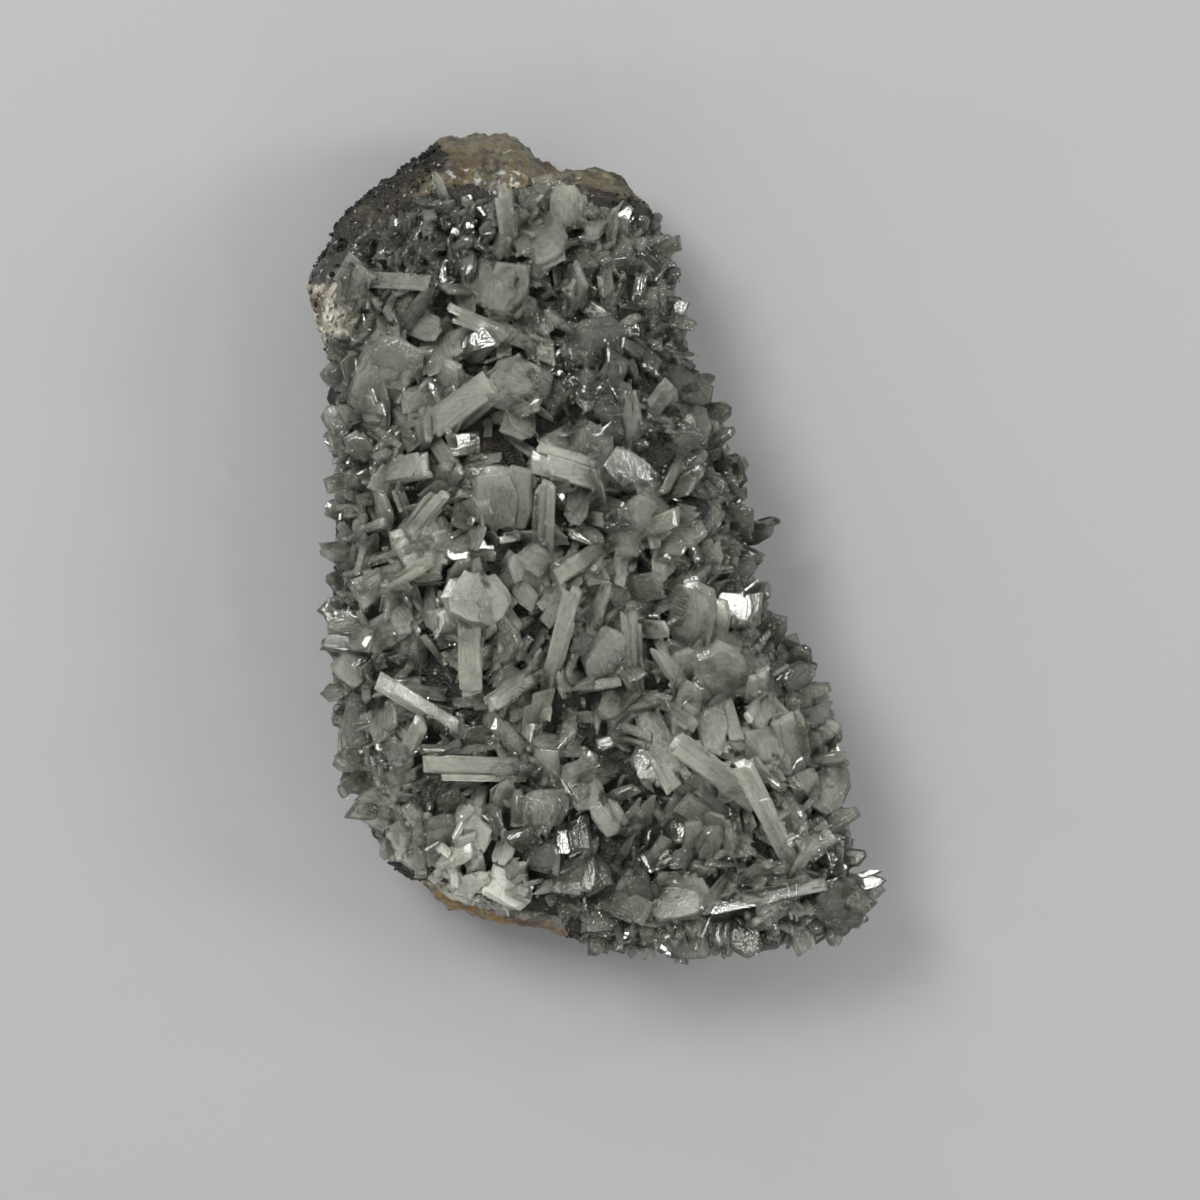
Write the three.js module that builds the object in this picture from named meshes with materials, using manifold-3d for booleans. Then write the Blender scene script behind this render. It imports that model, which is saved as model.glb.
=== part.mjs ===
// A hand specimen of barite: a crust of tabular crystals on a slab of dark ore with a rim of quartz.
// Millimetres. The slab lies on its back: +Z is up, out of the crystal face, +Y is towards the
// upper end with the bare rock, and the origin is under the middle of the specimen, on the surface.
import * as THREE from "three";
import { mergeVertices } from "three/addons/utils/BufferGeometryUtils.js";
import Module from "manifold-3d";

const wasm = await Module();
wasm.setup();

// ---- Driving dimensions ----
const HALF_WIDTH = 41.4; // no crystal reaches further out than this along X
const HALF_LENGTH = 60; // nor than this along Y
const ROCK_JITTER = 1.7; // how far a corner of the broken rock strays from its ring
const CRUST = 1.8; // mean thickness of the crystals' intergrown feet over the rock
const CRUST_JITTER = 0.9; // how much that thickness varies
const CRUST_EDGE = 14.5; // mean height on the slab's flanks where the barite starts
const CRUST_EDGE_JITTER = 1.8; // how much that height varies
const GAP = 0.35; // between two minerals that grew against each other
const FILL = 80; // crystals between the large ones
const FILL_RISE = 6; // how high they stand at most
const RIM_STEP = 4.9; // spacing of the crystals that point outwards round the edge
const BEVELLED = 4; // width from which a crystal's bevelled edges are made
const NARROW = 2.2; // width below which a crystal is a plain splinter

// The rock's outline from above, anticlockwise from its highest corner.
const ROCK_OUTLINE = [
  [-17.0, 60.0], [-21.7, 59.4], [-29.2, 54.1], [-36.3, 47.0], [-40.9, 41.5], [-41.2, 38.0],
  [-40.2, 33.0], [-38.5, 27.2], [-38.0, 20.1], [-37.8, 11.5], [-37.6, 2.9], [-37.8, -5.6],
  [-38.0, -12.8], [-37.8, -19.9], [-36.3, -27.1], [-34.9, -34.2], [-32.0, -40.7], [-28.5, -45.4],
  [-22.7, -49.5], [-15.6, -52.4], [-8.4, -53.6], [-1.3, -55.0], [5.9, -56.4], [13.0, -56.8],
  [20.2, -56.0], [28.7, -55.0], [35.2, -52.1], [35.9, -48.5], [34.2, -41.4], [32.3, -32.8],
  [30.9, -24.2], [28.0, -17.1], [23.7, -11.4], [20.4, -4.2], [19.4, 2.9], [18.4, 10.1],
  [16.2, 17.2], [13.0, 24.4], [10.4, 31.5], [9.3, 38.7], [8.0, 44.4], [6.6, 49.4],
  [3.3, 53.0], [-1.0, 55.3], [-5.6, 54.8], [-9.9, 56.6], [-12.3, 59.3],
];

// The line down the middle of the slab that its rings shrink towards, from upper to lower end.
const SPINE = new THREE.Line3(new THREE.Vector3(-14, 32, 0), new THREE.Vector3(2, -30, 0));

// Each ring of the rock: share of the way out from the spine, height, and how much of the jitter it
// takes sideways and upwards.
const ROCK_RINGS = [
  [0.8, 0, 0, 0], [0.95, 4, 1, 0.7], [1, 11, 0, 1], [0.95, 17, 1, 1], [0.8, 22, 1, 1], [0.45, 24, 0.8, 0.3],
];

const CRUST_FROM = 3; // number of the lowest of those rings that the barite covers

// The part of the plan that barite covers, anticlockwise: it runs past the slab's edge except where
// the upper end, the upper left flank and the lower left edge are bare.
const BARITE_AREA = [
  [-46, 28], [-46, -44], [-30, -44.5], [-27, -47], [-20.5, -50.3], [-12, -52.6], [-4, -54.4],
  [-2, -65], [46, -65], [46, 45], [9, 45], [1, 50.5], [-5, 52], [-12, 51], [-22, 51.5], [-30, 46],
  [-34, 40], [-36, 30],
];

// Where quartz takes the place of the dark ore: the plan of each body, anticlockwise, and the height
// that it starts at.
const QUARTZ = {
  quartz_rim_upper: {
    plan: [[-21.5, 51.8], [-13, 50.8], [-4, 51.6], [3, 50.2], [10, 47.5], [14, 70], [-24, 70]],
    from: -5,
  },
  quartz_patch_left: {
    plan: [[-50, 45], [-50, 29], [-35.5, 30.5], [-32.5, 36], [-33.5, 42.5], [-37.5, 45.5]],
    from: 8,
  },
  quartz_rim_lower: {
    plan: [[-27, -46], [-30, -70], [-3, -70], [-3.5, -51.5], [-12, -49.8], [-20.5, -46.5]],
    from: 4,
  },
};

// Outlines of a crystal's broad face: share of the length from the foot, share of the width.
const LATH = [[0, -0.42], [0.88, -0.5], [1, -0.28], [0.97, 0.5], [0, 0.42]];
const PLATE = [[0, -0.34], [0.55, -0.5], [0.95, -0.3], [0.95, 0.25], [0.55, 0.5], [0, 0.36]];
const SPLINTER = [[0, -0.5], [1, -0.35], [0.9, 0.5], [0, 0.5]];
const SPEAR = [[0, -0.3], [0.5, -0.5], [1, -0.06], [0.58, 0.5], [0, 0.3]];

// The large crystals, each where it stands: foot X, Y, tip X, Y, width, how high the tip stands
// above the rock, roll about its own length in degrees, outline.
const CRYSTALS = [
  // The upper end.
  [-33.5, 38.5, -24, 37.5, 3, 7, 15, LATH],
  [-14.5, 41.5, -14.5, 33, 6.5, 7, 20, PLATE],
  [-12.5, 42, -14, 51.5, 2.5, 8, 25, LATH],
  [-8.5, 47, -6.5, 40.5, 7, 9, 12, PLATE],
  [-4.5, 46, -4.5, 52.5, 5.5, 8, 10, PLATE],
  [-2.5, 41.5, 2, 41.5, 2.5, 5, 20, PLATE],
  [1, 44.5, 4.5, 49.5, 3, 6, 20, SPEAR],
  [2, 44.5, 4.5, 41.5, 3, 5, 30, PLATE],
  [8.5, 32, 8.5, 39, 2.5, 5, 35, LATH],
  // Above the middle.
  [-32.5, 20, -27.5, 30.5, 10, 7, 12, PLATE],
  [-31, 11, -24, 12, 4.5, 8, 18, LATH],
  [-26.5, 16, -15.5, 23.5, 4, 11, 8, LATH],
  [-21.5, 22.5, -20.5, 27, 4.5, 6, 20, PLATE],
  [-7.5, 28.5, -21.5, 34, 2, 7, 30, LATH],
  [0, 26.5, 0, 33.5, 8.5, 6, 15, PLATE],
  [1, 21.5, 3.5, 27.5, 3, 6, 35, PLATE],
  [5, 15, 5, 22.5, 2.5, 8, 20, SPEAR],
  [6, 18.5, 10, 24, 2, 8, 25, LATH],
  // The middle.
  [-37, 2, -30.5, 4, 1.5, 6, 30, LATH],
  [-32.5, -7, -23.5, -1.5, 1.5, 9, 55, LATH],
  [-29, -8, -27, -12, 3.5, 7, 15, PLATE],
  [-28, 1, -21.5, 8, 2, 9, 20, LATH],
  [-23.5, 9, -21, 12.5, 3.5, 7, 25, PLATE],
  [-18.5, -9.5, -18, -20, 4.5, 9, 20, LATH],
  [-14.5, 3.5, -14.5, 12.5, 7.5, 8, 8, PLATE],
  [-14, -9, -21.5, -5, 7, 7, 10, PLATE],
  [-8, 0, -7.5, 10, 2.5, 9, 40, LATH],
  [0.5, 0, -6, -4, 3, 10, 15, LATH],
  [1.5, 0.5, 11.5, 5, 3, 7, 20, LATH],
  [2, 9.5, -9.5, 12.5, 3.5, 10, 10, LATH],
  [9.5, 3.5, 4, 7, 5, 8, 10, PLATE],
  [12, -1.5, 18.5, 1, 2, 6, 25, LATH],
  [19.5, 1.5, 25.5, 3, 3.5, 3, 30, PLATE],
  // Below the middle.
  [-34, -19, -38, -15, 4.5, 6, 20, PLATE],
  [-33.5, -11, -39.5, -10, 5, 6, 20, PLATE],
  [-19.5, -26, -31.5, -18.5, 3, 9, 20, LATH],
  [-8, -17, -15.5, -22, 2.5, 9, 15, LATH],
  [-7.5, -20, -3, -5.5, 2.5, 11, 15, LATH],
  [-2, -13, 1, -5, 2, 9, 25, LATH],
  [5, -20, 4.5, -8.5, 2, 6, 45, LATH],
  [5.5, -22, 11.5, -33, 3.5, 9, 12, LATH],
  [9.5, -22, 14, -25, 3, 7, 25, PLATE],
  [13, -13, 14.5, -4, 7, 9, 12, PLATE],
  [13, -20, 7.5, -14, 2.5, 9, 25, SPEAR],
  [19, -11, 19.5, -5.5, 5, 7, 15, PLATE],
  [19.5, -20, 14.5, -13.5, 8.5, 9, 15, PLATE],
  [21.5, -14.5, 26, -9.5, 1.5, 5, 30, LATH],
  [23, -21.5, 22.5, -17, 3.5, 8, 20, PLATE],
  [24.5, -21.5, 22, -25, 3.5, 9, 15, PLATE],
  [26, -20, 31, -16.5, 5, 4, 30, PLATE],
  [30, -25.5, 32.5, -20, 3.5, 4, 25, PLATE],
  [31.5, -29.5, 34.5, -25.5, 3.5, 3, 25, PLATE],
  // The lower end.
  [-29, -31.5, -25, -24, 3, 8, 20, LATH],
  [-25, -45.5, -28.5, -42.5, 3.5, 4, 20, PLATE],
  [-24, -44.5, -17.5, -42.5, 3.5, 6, 20, PLATE],
  [-22.5, -44.5, -22.5, -37, 6.5, 5, 15, PLATE],
  [-21.5, -49, -15.5, -46, 3.5, 5, 20, PLATE],
  [-14, -52, -10.5, -48, 3.5, 5, 20, PLATE],
  [-9, -31, -15, -24, 2.5, 7, 25, LATH],
  [-8.5, -31, -25, -30, 3, 9, 20, LATH],
  [-3.5, -33.5, -0.5, -28.5, 2.5, 7, 30, PLATE],
  [12, -55.5, 12, -60, 2.5, 2, 25, PLATE],
  [14.5, -37, 13, -31, 4, 6, 25, PLATE],
  [14.5, -51, 32.5, -47.5, 2.5, 6, 30, LATH],
  [15.5, -44.5, 16, -38.5, 5, 7, 15, PLATE],
  [21, -53.5, 20, -58, 6.5, 4, 25, PLATE],
  [23, -36, 10.5, -26.5, 3.5, 11, 10, LATH],
  [26.5, -48, 31, -41.5, 1.5, 7, 30, LATH],
  [27.5, -44, 20, -29.5, 3, 12, 15, LATH],
  [28.5, -32, 26, -22.5, 4.5, 8, 20, PLATE],
  [29.5, -43, 33.5, -40, 3.5, 7, 20, PLATE],
  [32, -53, 36.5, -49, 5, 4, 20, PLATE],
  [36, -53.5, 41, -48.5, 1.5, 3, 30, LATH],
  [37, -48.5, 41.5, -47.5, 2.5, 1, 20, SPEAR],
];

// A number from 0 to 1 that looks random and is the same every time, for item n and use k.
function chance(n, k) {
  const wave = Math.sin(n * 12.9898 + k * 78.233) * 43758.5453;
  return wave - Math.floor(wave);
}

function between(low, high, share) {
  return low + (high - low) * share;
}

// Point n of an even scatter over the unit square.
function scatter(n) {
  return [(0.5 + n * 0.7548776662466927) % 1, (0.5 + n * 0.5698402909980532) % 1];
}

function isInside(plan, x, y) {
  let inside = false;
  plan.forEach(([x1, y1], i) => {
    const [x0, y0] = plan.at(i - 1);
    if (y0 > y !== y1 > y && x < between(x0, x1, (y - y0) / (y1 - y0))) inside = !inside;
  });
  return inside;
}

// ---- Solids ----
function solidOf(geometry) {
  const bare = geometry.clone();
  bare.deleteAttribute("normal");
  bare.deleteAttribute("uv");
  const merged = mergeVertices(bare, 1e-4);
  return new wasm.Manifold(
    new wasm.Mesh({
      numProp: 3,
      vertProperties: new Float32Array(merged.attributes.position.array),
      triVerts: new Uint32Array(merged.index.array),
    }),
  );
}

function geometryOf(solid) {
  const mesh = solid.getMesh();
  const geometry = new THREE.BufferGeometry();
  geometry.setAttribute("position", new THREE.BufferAttribute(mesh.vertProperties, mesh.numProp));
  geometry.setIndex(new THREE.BufferAttribute(mesh.triVerts, 1));
  return geometry;
}

// A closed skin over rings of points. All have the same count and turn anticlockwise about the way
// from the first ring to the last, and outline is the plane figure that both ends are filled by.
function skinOver(rings, outline) {
  const count = outline.length;
  const last = (rings.length - 1) * count;
  const ends = THREE.ShapeUtils.triangulateShape(outline, []);
  const faces = ends.flatMap(([a, b, c]) => [a, c, b, last + a, last + b, last + c]);
  for (let low = 0; low < last; low += count)
    for (let i = 0; i < count; i++) {
      const j = (i + 1) % count;
      faces.push(low + i, low + j, low + count + j, low + i, low + count + j, low + count + i);
    }
  const geometry = new THREE.BufferGeometry().setFromPoints(rings.flat());
  geometry.setIndex(faces);
  return geometry;
}

// A tall block over a plan, its bottom at height from and its sides moved outwards by gap.
function blockOver(plan, from, gap) {
  const corners = plan.map(([x, y]) => new THREE.Vector2(x, y));
  const pushed = corners.map((corner, i) => {
    const back = corner.clone().sub(corners.at(i - 1)).normalize();
    const on = corners[(i + 1) % corners.length].clone().sub(corner).normalize();
    const out = new THREE.Vector2(back.y + on.y, -back.x - on.x);
    return corner.clone().addScaledVector(out, (2 * gap) / out.lengthSq());
  });
  const block = new THREE.ExtrudeGeometry(new THREE.Shape(pushed), { depth: 60, bevelEnabled: false });
  return block.translate(0, 0, from - gap);
}

// ---- The rock and the crust of crystal feet on it ----
const rockEdge = new THREE.CatmullRomCurve3(
  ROCK_OUTLINE.map(([x, y]) => new THREE.Vector3(x, y, 0)),
  true,
  "centripetal",
);

// One ring of the slab's skin, swelled by extra, its corners strayed by the chances of set k.
function slabRing([share, height, sideways, upwards], k, extra, unevenness) {
  return ROCK_OUTLINE.map(([x, y], i) => {
    const corner = new THREE.Vector3(x, y, 0);
    const middle = SPINE.closestPointToPoint(corner, true, new THREE.Vector3());
    const reach = middle.distanceTo(corner);
    const stray = ROCK_JITTER * sideways * between(-1, 1, chance(i, k));
    const lift = ROCK_JITTER * upwards * between(-1, 1, chance(i, k + 20));
    const thickness = extra + unevenness * between(-1, 1, chance(i, k + 40));
    const out = Math.min(share * reach + stray, reach) + thickness;
    return middle.lerp(corner, out / reach).setZ(height + lift + thickness);
  });
}

function slabSkin(rings) {
  return skinOver(rings, rings.at(-1).map((corner) => new THREE.Vector2(corner.x, corner.y)));
}

const rockSkin = slabSkin(ROCK_RINGS.map((row, k) => slabRing(row, k, 0, 0)));
const rockMesh = new THREE.Mesh(rockSkin, new THREE.MeshBasicMaterial({ side: THREE.DoubleSide }));

// The height of the rock's surface at x, y, or of its rim just outside it.
function surfaceAt(x, y) {
  const ray = new THREE.Raycaster(new THREE.Vector3(x, y, 80), new THREE.Vector3(0, 0, -1));
  const hit = ray.intersectObject(rockMesh)[0];
  return hit ? hit.point.z : CRUST_EDGE;
}

// The rock with each face moved outwards by at least gap: what the barite is cut by.
function rockWithGap(gap) {
  const grown = rockSkin.clone();
  grown.computeVertexNormals();
  const { position, normal } = grown.attributes;
  const slants = new Array(position.count).fill(1);
  const face = new THREE.Triangle();
  const faceNormal = new THREE.Vector3();
  const out = new THREE.Vector3();
  for (let i = 0; i < grown.index.count; i += 3) {
    const corners = [0, 1, 2].map((k) => grown.index.getX(i + k));
    face.setFromAttributeAndIndices(position, ...corners);
    face.getNormal(faceNormal);
    for (const k of corners)
      slants[k] = Math.min(slants[k], faceNormal.dot(out.fromBufferAttribute(normal, k)));
  }
  slants.forEach((slant, k) => {
    out.fromBufferAttribute(normal, k).multiplyScalar(gap / Math.max(slant, 0.25));
    position.setXYZ(k, position.getX(k) + out.x, position.getY(k) + out.y, position.getZ(k) + out.z);
  });
  return grown;
}

function crustSkin() {
  const inner = slabRing([0.85, CRUST_EDGE, 0, 0], 0, 0, 0);
  const lip = slabRing([0.98, CRUST_EDGE - CRUST, 0, 0], 0, CRUST, 0);
  const upper = ROCK_RINGS.map((row, k) => slabRing(row, k, CRUST, CRUST_JITTER)).slice(CRUST_FROM);
  lip.forEach((corner, i) => {
    corner.z += CRUST_EDGE_JITTER * between(-1, 1, chance(i, 70));
    inner[i].z = corner.z;
  });
  return slabSkin([inner, lip, ...upper]);
}

// ---- The crystals ----
// One tabular crystal along +X, its broad faces across Z and its edges bevelled to a ridge.
function crystalGeometry(outline, length, width, thickness, bevelled) {
  const bevel = bevelled ? Math.min(thickness * 0.55, width * 0.25) : 0;
  const ring = (inset, z) =>
    outline.map(([u, v]) => {
      const x = between(inset, length - inset, u);
      return new THREE.Vector3(x, (width - 2 * inset) * v, z);
    });
  const middle = bevelled ? [ring(0, 0)] : [];
  const rings = [ring(bevel, -thickness / 2), ...middle, ring(bevel, thickness / 2)];
  return skinOver(rings, outline.map(([u, v]) => new THREE.Vector2(u * length, v * width)));
}

// Lays a crystal from foot to tip, its broad face turned up and then rolled about its length.
function layCrystal(geometry, foot, tip, roll) {
  const way = tip.clone().sub(foot).normalize();
  const side = new THREE.Vector3(0, 0, 1).cross(way).normalize();
  side.applyAxisAngle(way, THREE.MathUtils.degToRad(roll));
  const face = way.clone().cross(side);
  return geometry.applyMatrix4(new THREE.Matrix4().makeBasis(way, side, face).setPosition(foot));
}

function largeCrystals() {
  return CRYSTALS.map(([footX, footY, tipX, tipY, width, rise, roll, outline], n) => {
    const foot = new THREE.Vector3(footX, footY, surfaceAt(footX, footY) + rise * 0.1);
    const tip = new THREE.Vector3(tipX, tipY, surfaceAt(tipX, tipY) + rise);
    foot.lerp(tip, -0.12);
    const thickness = 1.1 + 0.08 * width + 0.5 * chance(n, 5);
    const bevelled = width >= BEVELLED;
    const shape = width < NARROW ? SPLINTER : outline;
    const crystal = crystalGeometry(shape, foot.distanceTo(tip), width, thickness, bevelled);
    return layCrystal(crystal, foot, tip, chance(n, 6) < 0.5 ? roll : -roll);
  });
}

function isRoomFor(tip) {
  const inReach = Math.abs(tip.x) < HALF_WIDTH - 1.4 && Math.abs(tip.y) < HALF_LENGTH - 2;
  return inReach && isInside(BARITE_AREA, tip.x, tip.y);
}

// Smaller crystals that fill the spaces between the large ones.
function fillCrystals() {
  const made = [];
  for (let n = 1; made.length < FILL; n++) {
    const [u, v] = scatter(n);
    const [x, y] = [between(-HALF_WIDTH, HALF_WIDTH, u), between(-HALF_LENGTH, HALF_LENGTH, v)];
    const foot = new THREE.Vector3(x, y, surfaceAt(x, y));
    const turn = chance(n, 1) * Math.PI * 2;
    const reach = between(3, 7, chance(n, 2));
    const tip = foot.clone().add(new THREE.Vector3(Math.cos(turn) * reach, Math.sin(turn) * reach, 0));
    tip.z = surfaceAt(tip.x, tip.y) + between(2.5, FILL_RISE, chance(n, 3));
    if (foot.z < CRUST_EDGE + 2 || !isRoomFor(foot) || !isRoomFor(tip)) continue;
    const width = between(2.5, 5, chance(n, 4));
    const crystal = crystalGeometry(SPLINTER, foot.distanceTo(tip), width, 1.3, false);
    made.push(layCrystal(crystal, foot, tip, between(-50, 50, chance(n, 6))));
  }
  return made;
}

// Crystals round the edge of the slab, leaning outwards from its flank.
function rimCrystals() {
  const made = [];
  const count = Math.round(rockEdge.getLength() / RIM_STEP);
  for (let n = 0; n < count; n++) {
    const edge = rockEdge.getPointAt(n / count);
    const tangent = rockEdge.getTangentAt(n / count);
    const out = new THREE.Vector3(tangent.y, -tangent.x, 0);
    const foot = edge.clone().addScaledVector(out, -1.5).setZ(CRUST_EDGE + between(1.5, 4.5, n % 2));
    const way = out.applyAxisAngle(new THREE.Vector3(0, 0, 1), between(-0.7, 0.7, chance(n, 12)));
    const tip = foot.clone().addScaledVector(way, between(4, 7, chance(n, 11)));
    if (!isRoomFor(tip)) tip.lerp(foot, 0.35);
    tip.z += between(0.5, 3.5, chance(n, 13));
    if (!isRoomFor(foot) || !isRoomFor(tip)) continue;
    const width = between(2.5, 4.6, chance(n, 14));
    const crystal = crystalGeometry(SPLINTER, foot.distanceTo(tip), width, 1.3, false);
    made.push(layCrystal(crystal, foot, tip, between(-70, 70, chance(n, 15))));
  }
  return made;
}

// ---- Materials ----
const ore = new THREE.MeshStandardMaterial({ color: 0x35332f, roughness: 0.75, metalness: 0.15 });
const quartz = new THREE.MeshStandardMaterial({ color: 0xa08a68, roughness: 0.5, metalness: 0 });
const barite = new THREE.MeshStandardMaterial({ color: 0x9ba09c, roughness: 0.2, metalness: 0 });

// ---- The specimen ----
const specimen = new THREE.Group();

function addNode(name, solid, material) {
  const node = new THREE.Mesh(geometryOf(solid), material);
  node.name = name;
  specimen.add(node);
}

const rock = solidOf(rockSkin);
let matrix = rock;
for (const [name, { plan, from }] of Object.entries(QUARTZ)) {
  addNode(name, rock.intersect(solidOf(blockOver(plan, from, 0))), quartz);
  matrix = matrix.subtract(solidOf(blockOver(plan, from, GAP)));
}
addNode("ore_matrix", matrix, ore);

const crust = solidOf(crustSkin()).intersect(solidOf(blockOver(BARITE_AREA, 0, 0)));
const crystals = [...largeCrystals(), ...fillCrystals(), ...rimCrystals()].map(solidOf);
const grownTogether = wasm.Manifold.union([crust, ...crystals]).subtract(solidOf(rockWithGap(GAP)));
// The cut can leave a splinter under an overhang, which is dropped.
const [druse] = grownTogether.decompose().sort((a, b) => b.volume() - a.volume());
addNode("barite_druse", druse, barite);

export default specimen;
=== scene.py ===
import math

import bpy
import numpy as np
from mathutils import Matrix, Vector, noise
from mathutils.bvhtree import BVHTree


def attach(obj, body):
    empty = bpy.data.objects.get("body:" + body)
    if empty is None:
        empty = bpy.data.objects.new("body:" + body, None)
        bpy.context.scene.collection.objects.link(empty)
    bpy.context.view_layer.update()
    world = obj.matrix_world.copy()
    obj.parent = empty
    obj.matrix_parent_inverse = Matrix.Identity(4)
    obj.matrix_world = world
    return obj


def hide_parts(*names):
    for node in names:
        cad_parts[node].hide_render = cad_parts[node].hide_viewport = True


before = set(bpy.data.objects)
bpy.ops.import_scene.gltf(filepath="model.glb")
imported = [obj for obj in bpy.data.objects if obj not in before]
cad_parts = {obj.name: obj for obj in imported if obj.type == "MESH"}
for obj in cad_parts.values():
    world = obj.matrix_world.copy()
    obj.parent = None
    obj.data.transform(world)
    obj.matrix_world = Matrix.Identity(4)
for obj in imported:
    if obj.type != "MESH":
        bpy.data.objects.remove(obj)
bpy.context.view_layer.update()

MM = 0.001
ROCK_NODES = ("ore_matrix", "quartz_rim_upper", "quartz_patch_left", "quartz_rim_lower")

# ---- The druse, as the CAD model has it ----
HALF_WIDTH = 41.4
HALF_LENGTH = 60
CRUST_EDGE = 14.5  # mean height on the slab's flanks where the barite starts
FILL = 80  # crystals between the large ones that the CAD model has too
FILL_RISE = 6
RIM_STEP = 4.9  # between the crystals that lean out over the outline
CAD_THICKNESS = 1.3  # of its crystals between the large ones and at the rim
REACH_X, REACH_Y = HALF_WIDTH - 1.4, HALF_LENGTH - 2  # how far out the tips may be

# The slab's outline seen from above, clockwise from its upper left corner.
ROCK_OUTLINE = [
    (-17.0, 60.0), (-21.7, 59.4), (-29.2, 54.1), (-36.3, 47.0), (-40.9, 41.5), (-41.2, 38.0),
    (-40.2, 33.0), (-38.5, 27.2), (-38.0, 20.1), (-37.8, 11.5), (-37.6, 2.9), (-37.8, -5.6),
    (-38.0, -12.8), (-37.8, -19.9), (-36.3, -27.1), (-34.9, -34.2), (-32.0, -40.7), (-28.5, -45.4),
    (-22.7, -49.5), (-15.6, -52.4), (-8.4, -53.6), (-1.3, -55.0), (5.9, -56.4), (13.0, -56.8),
    (20.2, -56.0), (28.7, -55.0), (35.2, -52.1), (35.9, -48.5), (34.2, -41.4), (32.3, -32.8),
    (30.9, -24.2), (28.0, -17.1), (23.7, -11.4), (20.4, -4.2), (19.4, 2.9), (18.4, 10.1), (16.2, 17.2),
    (13.0, 24.4), (10.4, 31.5), (9.3, 38.7), (8.0, 44.4), (6.6, 49.4), (3.3, 53.0), (-1.0, 55.3),
    (-5.6, 54.8), (-9.9, 56.6), (-12.3, 59.3),
]
BARITE_AREA = [
    (-46, 28), (-46, -44), (-30, -44.5), (-27, -47), (-20.5, -50.3), (-12, -52.6), (-4, -54.4),
    (-2, -65), (46, -65), (46, 45), (9, 45), (1, 50.5), (-5, 52), (-12, 51), (-22, 51.5), (-30, 46),
    (-34, 40), (-36, 30),
]

# The same with its upper left corner, where only small crystals grow.
GROWN_AREA = BARITE_AREA[:-5] + [(-12, 50.5), (-22.5, 51.8), (-32, 47.8), (-37, 42), (-37, 31)]

# That corner alone.
CORNER = [(-37, 36), (-36.5, 42), (-32, 47), (-23, 50.5), (-12, 49), (-9, 45), (-20, 40), (-30, 33)]

LATH, PLATE, SPEAR, TABLET, FINGER = "lath", "plate", "spear", "tablet", "finger"

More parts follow.
